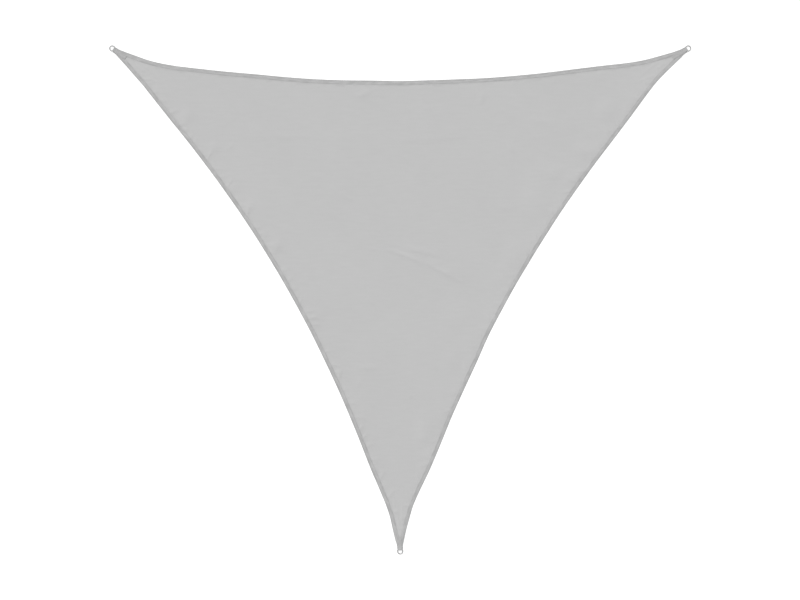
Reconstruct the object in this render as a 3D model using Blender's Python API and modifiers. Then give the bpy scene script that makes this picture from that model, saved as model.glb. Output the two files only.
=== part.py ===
"""A three-cornered shade sail, lying flat with its corners pulled out.

Metres, +Z up. The origin is on the ground under the middle of the whole sail. +Y runs from the single
corner towards the long straight side between the two upper corners.
"""

import math
from collections import namedtuple

import bpy
import numpy as np
from mathutils import Matrix, Vector, geometry

# ---- driving dimensions ----

MM = 0.001

RING_SPAN = 3.600  # ring to ring along the top edge
RING_DROP = 3.144  # from the line of the two top rings down to the bottom ring

CLOTH_THICKNESS = 1.2 * MM  # knitted panel
HEM_WIDTH = 25 * MM
HEM_THICKNESS = 2.6 * MM  # the panel's edge folded in twice and sewn flat
HEM_STEP = 1.2 * MM  # width of the step from the hem down to the panel
TIP_WIDTH = 36 * MM  # each corner ends square, this wide
TIP_STRAIGHT = 16 * MM  # length of the parallel sides behind the square end
TIP_TO_BAR = 4 * MM  # from the square end to the middle of the ring's bar

WIRE_RADIUS = 3 * MM
RING_INNER_WIDTH = 25 * MM
RING_LEG = 12.5 * MM  # from the middle of the bar to the centre of the bow
RING_CORNER = 4 * MM  # bend between the bar and a leg, at the wire's middle
BOW_STEPS = 16
CORNER_STEPS = 5
WIRE_DETAIL = 3  # Blender's bevel resolution, which gives the wire's section 10 sides

STRAP_THICKNESS = 1.4 * MM
GAP = 0.3 * MM  # between pieces that touch
BAR_PLAY = 0.1 * MM  # more room round the bar, whose bends and the loop's facets take up some of the gap
STRAP_LOOP = WIRE_RADIUS + GAP + BAR_PLAY + STRAP_THICKNESS / 2  # radius of the strap's middle round the bar
BAR_HEIGHT = STRAP_LOOP + STRAP_THICKNESS / 2
LOOP_STEPS = 10

CLOTH_LIFT = STRAP_THICKNESS + GAP  # the corner lies on the strap's lower tail
LIFT_FADE = 45 * MM  # the cloth comes down to the ground over this distance
STRAP_MARGIN = 4 * MM  # the lifted part reaches this far past the strap
LIFT_POINT_MARGIN = 3.2 * MM  # the points that hold it level lie this far past the strap
LIFT_POINT_ROWS = 6

EDGE_STEPS = 84  # outline points on each edge
EVEN_SHARE = 0.3  # the rest of the spacing widens towards the middle of an edge
GRID = 105 * MM  # spacing of the panel's points between its folds
FOLD_CLEARANCE = 34 * MM  # no grid point lies nearer to a fold's own points, or to the hem
FOLD_POINT_SPACING = 11 * MM  # least distance between the folds' points
LIFT_POINT_SPACING = 3.5 * MM  # least distance between the lifted corners' points
INSIDE_ONLY = 1  # the triangulation's output kind that leaves out what lies outside the outline
MERGE_DISTANCE = 0.001 * MM

# ---- tables ----

# x and y of the ring's bow, heading from the ring into the cloth in degrees, length of the strap's tails
# from the ring's bar
Corner = namedtuple("Corner", "x y heading tail")
CORNERS = {
    "left": Corner(-RING_SPAN / 2, RING_DROP / 2, -34.8, 92 * MM),
    "right": Corner(RING_SPAN / 2, RING_DROP / 2, 211.6, 102 * MM),
    "bottom": Corner(0.0, -RING_DROP / 2, 91.5, 82 * MM),
}

# edge name, the corners that it joins
EDGES = {"left": ("left", "bottom"), "right": ("right", "bottom"), "top": ("left", "right")}

# how far each edge is cut in from the straight line between its rings, in mm
# columns: share of the way along the line, top edge, left edge, right edge
SAG_COLUMNS = {"top": 1, "left": 2, "right": 3}
SAGS = [
    (0.02, 19, 6, 10),
    (0.04, 45, 22, 31),
    (0.06, 71, 36, 51),
    (0.08, 90, 51, 68),
    (0.10, 104, 62, 78),
    (0.15, 127, 89, 99),
    (0.20, 146, 118, 122),
    (0.25, 162, 143, 146),
    (0.30, 179, 164, 165),
    (0.35, 192, 181, 181),
    (0.40, 199, 193, 191),
    (0.45, 201, 200, 198),
    (0.50, 204, 203, 201),
    (0.55, 199, 201, 198),
    (0.60, 193, 195, 191),
    (0.65, 185, 183, 173),
    (0.70, 171, 168, 157),
    (0.75, 153, 148, 140),
    (0.80, 131, 124, 116),
    (0.85, 109, 97, 94),
    (0.90, 88, 76, 80),
    (0.92, 76, 66, 72),
    (0.94, 58, 51, 55),
    (0.96, 38, 29, 36),
    (0.98, 16, 8, 14),
]

# soft swells that stand up just inside the hem, where its sewing is tighter than the cloth
# columns: edge, share of the way along it, inset from the edge, length along the hem, width, height, in mm
SWELLS = [
    ("left", 0.11, 62, 190, 80, 3.0),
    ("left", 0.185, 75, 210, 95, 3.5),
    ("left", 0.29, 80, 180, 100, 3.5),
    ("left", 0.375, 88, 200, 110, 4.5),
    ("left", 0.44, 96, 190, 110, 4.0),
    ("left", 0.55, 92, 220, 110, 4.5),
    ("left", 0.63, 88, 180, 105, 3.5),
    ("left", 0.75, 80, 230, 95, 4.0),
    ("left", 0.85, 68, 180, 80, 3.5),
    ("right", 0.13, 66, 190, 85, 3.5),
    ("right", 0.20, 74, 160, 95, 4.0),
    ("right", 0.30, 88, 200, 110, 5.0),
    ("right", 0.375, 92, 190, 110, 4.0),
    ("right", 0.50, 96, 220, 115, 4.5),
    ("right", 0.61, 90, 200, 110, 4.5),
    ("right", 0.77, 80, 220, 95, 4.0),
    ("top", 0.16, 75, 260, 90, 3.0),
    ("top", 0.43, 95, 240, 110, 4.0),
    ("top", 0.64, 90, 300, 105, 3.0),
    ("top", 0.84, 72, 240, 85, 3.5),
]

# creases left by folding and by lying, out in the panel
# columns: x, y, heading in degrees, length, width, height, in mm
CREASES = [
    (105, 262, -17, 300, 70, 4.5),
    (330, 165, -32, 230, 75, 5.0),
    (190, 215, -25, 260, 55, 3.0),
    (-440, 560, -12, 210, 60, 3.5),
    (-410, 680, -16, 190, 55, 3.0),
    (-195, -432, 4, 180, 55, 3.5),
    (960, 1085, -8, 300, 65, 4.0),
    (1130, 985, -62, 170, 60, 3.5),
    (640, 900, 70, 160, 60, 3.0),
    (-900, 1030, -3, 460, 70, 3.5),
    (-330, 1018, 1, 420, 65, 3.0),
    (330, 1030, -2, 380, 65, 3.0),
]

# points that carry each fold, as shares of its half length and half width
FOLD_ALONG = (-0.85, -0.3, 0.3, 0.85)
FOLD_ACROSS = (-0.9, -0.45, 0.0, 0.45, 0.9)

# the strap comes down from the top of the bar on to the cloth
# columns: distance from the bar in mm, share of the drop that is left there
STRAP_DESCENT = [(3, 0.85), (7, 0.52), (11, 0.20), (15, 0.03)]
TAIL_STEPS = 4
STRAP_WIDTH = 25 * MM
LOOP_WIDTH = 21 * MM  # the webbing is drawn together between the ring's legs
NARROW_FROM = 16 * MM  # it starts to narrow this far from the bar

SHADE_GREY = (0.54, 0.54, 0.54, 1.0)
WEBBING_GREY = (0.45, 0.45, 0.45, 1.0)
STEEL_GREY = (0.55, 0.56, 0.57, 1.0)


# ---- scene helpers ----


def clear_scene():
    for obj in list(bpy.data.objects):
        bpy.data.objects.remove(obj, do_unlink=True)


def new_collection(name):
    made = bpy.data.collections.new(name)
    bpy.context.scene.collection.children.link(made)
    return made


def material(name, color, roughness, metallic):
    made = bpy.data.materials.new(name)
    made.use_nodes = True
    shader = made.node_tree.nodes["Principled BSDF"]
    shader.inputs["Base Color"].default_value = color
    shader.inputs["Roughness"].default_value = roughness
    shader.inputs["Metallic"].default_value = metallic
    return made


def add_object(name, data, collection, finish):
    made = bpy.data.objects.new(name, data)
    made.data.materials.append(finish)
    collection.objects.link(made)
    return made


# ---- plan geometry, all in the XY plane ----


def smooth(knots, values, at):
    """A curve through the knots whose slope at each is the mean of its two sides, weighted by nearness."""
    knots, values = np.asarray(knots, float), np.asarray(values, float)
    gaps = np.diff(knots)
    rises = np.diff(values) / gaps
    middle = (rises[:-1] * gaps[1:] + rises[1:] * gaps[:-1]) / (gaps[:-1] + gaps[1:])
    slopes = np.concatenate([rises[:1], middle, rises[-1:]])
    k = np.clip(np.searchsorted(knots, at) - 1, 0, len(gaps) - 1)
    s = (at - knots[k]) / gaps[k]
    return (
        values[k] * (1 + 2 * s) * (1 - s) ** 2
        + values[k + 1] * s**2 * (3 - 2 * s)
        + gaps[k] * (slopes[k] * s * (1 - s) ** 2 + slopes[k + 1] * s**2 * (s - 1))
    )


def corner_axes(name):
    """The ring's centre, the way into the cloth and the way across it to the left."""
    corner = CORNERS[name]
    turn = math.radians(corner.heading)
    inward = np.array([math.cos(turn), math.sin(turn)])
    return np.array([corner.x, corner.y]), inward, np.array([-inward[1], inward[0]])


def corner_point(name, from_bar, across):
    """A point of a corner, by its distance from the ring's bar into the cloth and its distance across."""
    centre, inward, left = corner_axes(name)
    return centre + inward * (RING_LEG + from_bar) + left * across


def tip_points(corner, side):
    """The two points that give one side of a square tip, outermost first."""
    half = side * TIP_WIDTH / 2
    return [corner_point(corner, back, half) for back in (TIP_TO_BAR, TIP_TO_BAR + TIP_STRAIGHT)]


def edge_outline(edge):
    """One edge's points in order along it, with the inward normal at each."""
    first, last = EDGES[edge]
    start, end = corner_axes(first)[0], corner_axes(last)[0]
    length = np.linalg.norm(end - start)
    along = (end - start) / length
    inward = np.array([-along[1], along[0]])
    if np.dot(-start, inward) < 0:  # the origin lies inside the sail
        inward = -inward
    # on the edge's own side of each corner's axis
    side = {c: 1 if np.dot(corner_axes(c)[2], inward) < 0 else -1 for c in (first, last)}
    ends = tip_points(first, side[first]) + tip_points(last, side[last])[::-1]
    local = [(np.dot(p - start, along), np.dot(p - start, inward)) for p in ends]
    rows = [(row[0] * length, row[SAG_COLUMNS[edge]] * MM) for row in SAGS]
    knots, sags = zip(*(local[:2] + rows + local[2:]))
    share = np.arange(EDGE_STEPS + 1) / EDGE_STEPS
    share = EVEN_SHARE * share + (1 - EVEN_SHARE) * (1 - np.cos(math.pi * share)) / 2
    t = knots[0] + share * (knots[-1] - knots[0])
    points = start + np.outer(t, along) + np.outer(smooth(knots, sags, t), inward)
    tangent = np.gradient(points, axis=0)
    tangent /= np.linalg.norm(tangent, axis=1)[:, None]
    normals = np.stack([-tangent[:, 1], tangent[:, 0]], axis=1)
    if np.dot(normals[EDGE_STEPS // 2], inward) < 0:
        normals = -normals
    return points, normals


def loop_order():
    """The edges in order round the sail, anticlockwise from above, with those that run backwards."""
    return [("left", False), ("right", True), ("top", True)]


def meeting(line_a, line_b):
    """Where two lines of points cross: the segment of each, and the point."""
    for i in range(len(line_a) - 1, 0, -1):
        for j in range(len(line_b) - 1):
            hit = geometry.intersect_line_line_2d(line_a[i - 1], line_a[i], line_b[j], line_b[j + 1])
            if hit is not None:
                return i, j + 1, np.array(hit)
    raise ValueError("the hems don't meet")


def inset_loop(lines, inset):
    """The outline moved in by inset, with the ends cut where neighbouring edges' lines cross."""
    moved = [points + normals * inset for points, normals in lines]
    crossings = [meeting(moved[k - 1], moved[k]) for k in range(len(moved))]
    loop = []
    for k, line in enumerate(moved):
        begin = crossings[k][1]
        stop = crossings[(k + 1) % len(moved)][0]
        loop.append(crossings[k][2])
        loop.extend(line[begin:stop])
    return np.array(loop)


def inside(point, loop):
    x, y = point
    ax, ay = loop[:, 0], loop[:, 1]
    bx, by = np.roll(ax, -1), np.roll(ay, -1)
    spans = (ay > y) != (by > y)
    cross = ax[spans] + (y - ay[spans]) * (bx[spans] - ax[spans]) / (by[spans] - ay[spans])
    return np.count_nonzero(cross > x) % 2 == 1


# ---- folds ----


def folds():
    """Every swell and crease as centre, heading vector, half length, half width and height, in metres."""
    made = []
    outlines = {edge: edge_outline(edge) for edge in EDGES}
    for edge, share, inset, length, width, height in SWELLS:
        points, normals = outlines[edge]
        chord = np.linalg.norm(points[-1] - points[0])
        k = int(np.argmin(np.abs(np.linalg.norm(points - points[0], axis=1) - share * chord)))
        heading = np.array([normals[k][1], -normals[k][0]])
        made.append((points[k] + normals[k] * inset * MM, heading, length, width, height))
    for x, y, degrees, length, width, height in CREASES:
        turn = math.radians(degrees)
        heading = np.array([math.cos(turn), math.sin(turn)])
        made.append((np.array([x, y]) * MM, heading, length, width, height))
    return [(c, h, length * MM / 2, width * MM / 2, height * MM) for c, h, length, width, height in made]


def fold_height(point, all_folds):
    """How far the folds lift the cloth at a point: each is a long mound that is level where it ends."""
    total = 0.0
    for centre, heading, half_length, half_width, height in all_folds:
        away = point - centre
        a = np.dot(away, heading) / half_length
        b = (away[1] * heading[0] - away[0] * heading[1]) / half_width
        reach = math.hypot(a, b)
        if reach < 1:
            total += height * math.cos(reach * math.pi / 2) ** 2
    return total


def strap_lift(point):
    """How far the straps' lower tails lift the cloth at a point."""
    share = 0.0
    for name, corner in CORNERS.items():
        centre, inward, left = corner_axes(name)
        from_bar = np.dot(point - centre, inward) - RING_LEG
        across = abs(np.dot(point - centre, left))
        out = math.hypot(
            max(0.0, from_bar - corner.tail - STRAP_MARGIN),
            max(0.0, across - STRAP_WIDTH / 2 - STRAP_MARGIN),
        )
        if out < LIFT_FADE:
            share = max(share, math.cos(out / LIFT_FADE * math.pi / 2) ** 2)
    return share * CLOTH_LIFT


def fold_points(all_folds):
    points = []
    for centre, heading, half_length, half_width, _ in all_folds:
        across = np.array([-heading[1], heading[0]])
        for a in FOLD_ALONG:
            narrow = math.sqrt(1 - a * a)
            for b in FOLD_ACROSS:
                points.append(centre + heading * a * half_length + across * b * narrow * half_width)
    return points


def corner_points():
    """Points on the lifted part of each corner, so that its facets stay clear of the strap."""
    points = []
    edge = STRAP_WIDTH / 2 + LIFT_POINT_MARGIN
    for name, corner in CORNERS.items():
        end = corner.tail + LIFT_POINT_MARGIN
        for from_bar in np.linspace(TIP_TO_BAR + TIP_STRAIGHT, end, LIFT_POINT_ROWS):
            for across in (-edge, 0.0, edge):
                points.append(corner_point(name, from_bar, across))
        for across in (-2 * edge, 0.0, 2 * edge):
            points.append(corner_point(name, end + LIFT_FADE / 2, across))
    return points


def grid_points(loop, taken):
    """A staggered grid over the panel, left out near the hem and near the folds' own points."""
    points = []
    taken = np.array(taken)
    low, high = loop.min(axis=0), loop.max(axis=0)
    row_height = GRID * math.sqrt(3) / 2
    for row in range(1, int((high[1] - low[1]) / row_height) + 1):
        for column in range(int((high[0] - low[0]) / GRID) + 1):
            point = low + np.array([(column + 0.5 * (row % 2)) * GRID, row * row_height])
            near = np.linalg.norm(taken - point, axis=1).min()
            if near > FOLD_CLEARANCE and inside(point, loop):
                points.append(point)
    return points


# ---- pieces ----


def spread_out(candidates, loop, taken, apart):
    """Those candidates inside the loop that keep their distance from each other and from taken."""
    kept = []
    for point in candidates:
        others = np.array(taken + kept)
        if inside(point, loop) and np.linalg.norm(others - point, axis=1).min() > apart:
            kept.append(point)
    return kept


def make_cloth(collection, finish):
    lines = []
    for edge, backwards in loop_order():
        points, normals = edge_outline(edge)
        lines.append((points[::-1], normals[::-1]) if backwards else (points, normals))
    outline = np.concatenate([points for points, _ in lines])
    hem_line = inset_loop(lines, HEM_WIDTH)
    panel_line = inset_loop(lines, HEM_WIDTH + HEM_STEP)
    all_folds = folds()

    fixed = list(outline) + list(hem_line) + list(panel_line)
    near_corners = spread_out(corner_points(), outline, fixed, LIFT_POINT_SPACING)
    on_folds = spread_out(fold_points(all_folds), panel_line, fixed + near_corners, FOLD_POINT_SPACING)
    grid = grid_points(panel_line, fixed + near_corners + on_folds)
    points = fixed + near_corners + on_folds + grid

    constraints = []
    start = 0
    for loop in (outline, hem_line, panel_line):
        count = len(loop)
        constraints += [(start + k, start + (k + 1) % count) for k in range(count)]
        start += count
    plan = [Vector((float(x), float(y))) for x, y in points]
    verts, _, faces, sources, _, _ = geometry.delaunay_2d_cdt(
        plan, constraints, [], INSIDE_ONLY, MERGE_DISTANCE
    )

    first_panel_point = len(outline) + len(hem_line)
    mesh = bpy.data.meshes.new("sail_cloth")
    heights = [fold_height(np.array(v), all_folds) + strap_lift(np.array(v)) for v in verts]
    mesh.from_pydata([(v.x, v.y, h) for v, h in zip(verts, heights)], [], faces)
    cloth = add_object("sail_cloth", mesh, collection, finish)

    # the hem is as thick as its folds, the panel is one layer
    hem = cloth.vertex_groups.new(name="hem")
    for k, ids in enumerate(sources):
        source = ids[0]
        on_panel = source >= first_panel_point and (
            source < len(fixed) or inside(points[source], panel_line)
        )
        hem.add([k], 0.0 if on_panel else 1.0, "REPLACE")
    wall = cloth.modifiers.new("thickness", "SOLIDIFY")
    wall.thickness = HEM_THICKNESS
    wall.offset = 1.0
    wall.vertex_group = hem.name
    wall.thickness_vertex_group = CLOTH_THICKNESS / HEM_THICKNESS
    return cloth


def placement(corner):
    """From a corner's own axes (X out past the ring, from its bar's middle on the ground) to the sail's."""
    x, y, heading, _ = CORNERS[corner]
    turn = Matrix.Rotation(math.radians(heading) + math.pi, 4, "Z")
    return Matrix.Translation((x, y, 0.0)) @ turn @ Matrix.Translation((-RING_LEG, 0.0, 0.0))


def ring_path():
    """The wire's middle line, from the middle of the bar round the bow and back, X towards the bow."""
    half = RING_INNER_WIDTH / 2 + WIRE_RADIUS
    points = []
    for side in (1, -1):
        quarter = [math.pi / 2 * k / CORNER_STEPS for k in range(CORNER_STEPS + 1)]
        bend = [
            (RING_CORNER * (1 - math.cos(a)), side * (half - RING_CORNER * (1 - math.sin(a))))
            for a in quarter
        ]
        sweep = [math.pi / 2 * k / (BOW_STEPS // 2) for k in range(BOW_STEPS // 2 + 1)]
        bow = [(RING_LEG + half * math.sin(a), side * half * math.cos(a)) for a in sweep]
        run = bend + bow
        points += run if side == 1 else run[::-1][1:]
    return points


def make_ring(corner, collection, finish):
    """Wire bent to a D. Its bar lies in the strap's loop and its bow rests on the ground."""
    path = ring_path()
    curve = bpy.data.curves.new(f"ring_{corner}", "CURVE")
    curve.dimensions = "3D"
    curve.bevel_depth = WIRE_RADIUS
    curve.bevel_resolution = WIRE_DETAIL
    spline = curve.splines.new("POLY")
    spline.points.add(len(path) - 1)
    for point, (x, y) in zip(spline.points, path):
        point.co = (x, y, 0.0, 1.0)
    spline.use_cyclic_u = True
    ring = add_object(f"ring_{corner}", curve, collection, finish)
    nose = RING_LEG + RING_INNER_WIDTH / 2 + WIRE_RADIUS
    dip = math.asin((BAR_HEIGHT - WIRE_RADIUS) / nose)
    raised = Matrix.Translation((0.0, 0.0, BAR_HEIGHT))
    ring.matrix_world = placement(corner) @ raised @ Matrix.Rotation(dip, 4, "Y")
    return ring


def strap_sections(tail):
    """The strap from its lower tail round the bar to its upper tail: distance out, height and width."""
    low = STRAP_THICKNESS / 2
    on_cloth = CLOTH_LIFT + HEM_THICKNESS + GAP + STRAP_THICKNESS / 2
    far = [-tail + (tail - NARROW_FROM) * k / TAIL_STEPS for k in range(TAIL_STEPS + 1)]
    rows = [(x, low, STRAP_WIDTH) for x in far]
    rows.append((-NARROW_FROM / 2, low, (STRAP_WIDTH + LOOP_WIDTH) / 2))
    for k in range(LOOP_STEPS + 1):
        angle = math.pi * k / LOOP_STEPS - math.pi / 2
        height = BAR_HEIGHT + STRAP_LOOP * math.sin(angle)
        rows.append((STRAP_LOOP * math.cos(angle), height, LOOP_WIDTH))
    drop = BAR_HEIGHT + STRAP_LOOP - on_cloth
    for back, left in STRAP_DESCENT:
        width = LOOP_WIDTH + (STRAP_WIDTH - LOOP_WIDTH) * back * MM / NARROW_FROM
        rows.append((-back * MM, on_cloth + drop * left, width))
    rows += [(x, on_cloth, STRAP_WIDTH) for x in far[::-1]]
    return rows


def make_strap(corner, collection, finish):
    """Flat webbing, bent round the ring's bar, with a tail on each face of the cloth."""
    verts, faces = [], []
    for x, z, width in strap_sections(CORNERS[corner].tail):
        verts += [(x, -width / 2, z), (x, width / 2, z)]
    for k in range(0, len(verts) - 2, 2):
        faces.append((k, k + 2, k + 3, k + 1))
    mesh = bpy.data.meshes.new(f"strap_{corner}")
    mesh.from_pydata(verts, [], faces)
    strap = add_object(f"strap_{corner}", mesh, collection, finish)
    wall = strap.modifiers.new("thickness", "SOLIDIFY")
    wall.thickness = STRAP_THICKNESS
    wall.offset = 0.0
    wall.use_even_offset = True
    strap.matrix_world = placement(corner)
    return strap


def main():
    clear_scene()
    sail = new_collection("shade_sail")
    shade_cloth = material("knitted_shade_cloth", SHADE_GREY, 0.85, 0.0)
    webbing = material("woven_webbing", WEBBING_GREY, 0.8, 0.0)
    steel = material("polished_steel", STEEL_GREY, 0.3, 1.0)
    make_cloth(sail, shade_cloth)
    for corner in CORNERS:
        make_strap(corner, sail, webbing)
        make_ring(corner, sail, steel)


main()
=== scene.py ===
import math
import random

import bpy
import numpy as np
from mathutils import Matrix, Vector, geometry, noise
from mathutils.bvhtree import BVHTree


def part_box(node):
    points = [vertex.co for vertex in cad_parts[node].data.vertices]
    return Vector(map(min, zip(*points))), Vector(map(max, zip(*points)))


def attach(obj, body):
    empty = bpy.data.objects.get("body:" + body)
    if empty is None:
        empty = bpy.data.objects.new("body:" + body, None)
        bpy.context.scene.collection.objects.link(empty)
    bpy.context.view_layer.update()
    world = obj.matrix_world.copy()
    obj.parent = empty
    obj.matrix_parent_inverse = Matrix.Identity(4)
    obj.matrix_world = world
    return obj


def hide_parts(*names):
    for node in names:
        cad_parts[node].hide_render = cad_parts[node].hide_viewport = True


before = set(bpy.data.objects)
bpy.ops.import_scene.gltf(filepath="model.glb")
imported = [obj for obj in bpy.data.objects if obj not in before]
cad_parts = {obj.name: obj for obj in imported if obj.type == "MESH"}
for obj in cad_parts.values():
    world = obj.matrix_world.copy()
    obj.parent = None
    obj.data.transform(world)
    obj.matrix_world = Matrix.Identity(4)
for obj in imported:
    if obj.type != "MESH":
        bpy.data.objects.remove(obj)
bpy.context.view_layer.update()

# A three-cornered sail of knitted shade cloth, laid out flat with its corners pulled straight.
# Metres, +Z up. The straight line between the two upper rings runs along X.

mm = 0.001
cornerNames = ("left", "right", "bottom")

picture = {
    "lens": 85.0,
    "sensor": 36.0,
    "fieldWidth": 5.0,  # metres across the picture at the height of the cloth
    "centre": (-0.94 * mm, -0.75 * mm),
    "farthest": 200.0,  # metres that the camera sees
}

studio = {
    "skyStrength": 0.74,  # the even light of a white room
    "keyStrength": 1.24,  # one large lamp, up and to the left
    "keySpread": 38.0,  # degrees across, so that no crease throws a hard shadow
    "keyElevation": 40.0,
    "keyBearing": 126.0,  # degrees from +X towards +Y
    "floorSize": 60.0,
    "floorDrop": 0.2 * mm,
    "floorColour": "#F4F4F4",
    "floorGlow": 0.32,
}


def linearColour(code):
    # an sRGB hex value as the linear colour that a shader takes
    levels = [int(code[k:k + 2], 16) / 255 for k in (1, 3, 5)]
    return [v / 12.92 if v <= 0.04045 else ((v + 0.055) / 1.055) ** 2.4 for v in levels] + [1.0]


def addNode(tree, kind, settings=None, links=None):
    # a setting is an input, by its name or number, or else one of the node's own options, and a
    # link comes from a socket or from a node's first output
    node = tree.nodes.new(kind)
    for name, value in (settings or {}).items():
        if isinstance(name, int) or name in node.inputs:
            node.inputs[name].default_value = value
        else:
            setattr(node, name, value)
    for name, source in (links or {}).items():
        output = source.outputs[0] if isinstance(source, bpy.types.Node) else source
        tree.links.new(output, node.inputs[name])
    return node


def emptyMaterial(name):
    made = bpy.data.materials.new(name)
    made.use_nodes = True
    made.node_tree.nodes.clear()
    return made, made.node_tree


def finished(material, settings, links):
    # the material with its shader, which takes the patterns made so far
    tree = material.node_tree
    shader = addNode(tree, "ShaderNodeBsdfPrincipled", settings, links)
    addNode(tree, "ShaderNodeOutputMaterial", {}, {"Surface": shader})
    return material


def inScene(name, data):
    made = bpy.data.objects.new(name, data)
    bpy.context.scene.collection.objects.link(made)
    return made


def makeCamera():
    data = bpy.data.cameras.new("aboveSail")
    data.lens = picture["lens"]
    data.sensor_width = picture["sensor"]
    data.clip_end = picture["farthest"]
    camera = inScene("aboveSail", data)
    height = picture["fieldWidth"] * picture["lens"] / picture["sensor"]
    camera.location = (*picture["centre"], height)
    bpy.context.scene.camera = camera


def makeStudio():
    bpy.context.scene.view_settings.view_transform = "Standard"
    world = bpy.data.worlds.new("whiteRoom")
    world.use_nodes = True
    sky = world.node_tree.nodes["Background"]
    sky.inputs["Color"].default_value = (1.0, 1.0, 1.0, 1.0)
    sky.inputs["Strength"].default_value = studio["skyStrength"]
    bpy.context.scene.world = world

    lamp = bpy.data.lights.new("keyLamp", "SUN")
    lamp.energy = studio["keyStrength"]
    lamp.angle = math.radians(studio["keySpread"])
    key = inScene("keyLamp", lamp)
    bearing = math.radians(studio["keyBearing"])
    elevation = math.radians(studio["keyElevation"])
    flatPart = math.cos(elevation)
    towards = Vector((flatPart * math.cos(bearing), flatPart * math.sin(bearing), math.sin(elevation)))
    key.rotation_euler = towards.to_track_quat("Z", "Y").to_euler()

    # painted board that stays white under the sail's own soft shade
    paint, _ = emptyMaterial("whitePaintedBoard")
    finished(paint, {
        "Base Color": linearColour(studio["floorColour"]),
        "Roughness": 0.9,
        "Specular IOR Level": 0.1,
        "Emission Color": (1.0, 1.0, 1.0, 1.0),
        "Emission Strength": studio["floorGlow"],
    }, {})
    half = studio["floorSize"] / 2
    drop = -studio["floorDrop"]
    board = bpy.data.meshes.new("floorBoard")
    boardCorners = [(-half, -half, drop), (half, -half, drop), (half, half, drop), (-half, half, drop)]
    board.from_pydata(boardCorners, [], [(0, 1, 2, 3)])
    board.materials.append(paint)
    floor = inScene("floorBoard", board)


makeCamera()
makeStudio()
print("camera, lamp and floor made")


def patches(tree, vector, size, middle, spread, detail=2.0):
    # soft patches that measure size, in metres, with values up to a spread either way of the middle
    placed = addNode(tree, "ShaderNodeMapping", {
        "Scale": tuple(1.0 / side for side in size),
    }, {"Vector": vector})
    cloudy = addNode(tree, "ShaderNodeTexNoise", {
        "Scale": 1.0,
        "Detail": detail,
        "Roughness": 0.55,
    }, {"Vector": placed})
    return addNode(tree, "ShaderNodeMapRange", {
        "From Min": 0.3,  # hardly any of the noise is lower than this or higher than the next
        "From Max": 0.7,
        "To Min": middle - spread,
        "To Max": middle + spread,
    }, {"Value": cloudy})


def waveScale(pitch):
    # one wave of the wave texture is pi/10 long at scale 1
    return math.pi / 10 / pitch


clothFinish = {
    "panelColour": "#C5C5C5",  # one layer, which lets the pale ground through its holes
    "hemColour": "#B9B9B9",  # three layers, which let none through
    "coursePitch": 3.2 * mm,
    "walePitch": 2.6 * mm,
    "knitWaver": 0.6,
    "knitShade": 0.05,  # share of light lost between the stitches of the knit
    "knitRelief": 0.25 * mm,
    "streakSize": (95 * mm, 17 * mm, 1.0),  # uneven yarn shows as short streaks along the courses
    "streakDepth": 0.013,
    "cloudSize": (420 * mm, 420 * mm, 420 * mm),
    "cloudDepth": 0.008,
    "moireSize": (58 * mm, 13 * mm, 1.0),  # where the holes of the hem's layers line up, it looks paler
    "moireDepth": 0.125,
    "rowShade": 0.06,  # the cloth is pulled in along each row of sewing and is darker there: partly its denser layers, partly painted shade in the groove
    "rowCurve": [
        (0.0, 0.0), (0.08, 0.2), (0.17, 1.0), (0.3, 0.5), (0.6, 0.05), (0.78, 0.0), (0.9, 0.2), (1.0, 0.0),
    ],
    "roughness": 0.74,
    "roughnessSpread": 0.024,
    "roughnessSize": (60 * mm, 60 * mm, 60 * mm),
}


def darkerAlongRows(tree, inset, hemShare):
    # the hem's tone at a distance from its edge: darker along the rows of sewing, partly for the denser
    # layers and partly as painted shade in their grooves
    acrossHem = addNode(tree, "ShaderNodeMath", {"operation": "DIVIDE", 1: sailCut["hemWidth"]}, {0: inset})
    dark = addNode(tree, "ShaderNodeFloatCurve", {}, {"Value": acrossHem})
    shape = clothFinish["rowCurve"]
    curve = dark.mapping.curves[0]
    curve.points[0].location = shape[0]
    curve.points[1].location = shape[-1]
    for spot in shape[1:-1]:
        curve.points.new(*spot)
    dark.mapping.update()
    onHem = addNode(tree, "ShaderNodeMath", {"operation": "MULTIPLY"}, {0: dark, 1: hemShare})
    return addNode(tree, "ShaderNodeMapRange", {
        "To Min": 1.0,
        "To Max": 1.0 - clothFinish["rowShade"],
    }, {"Value": onHem})


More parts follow.
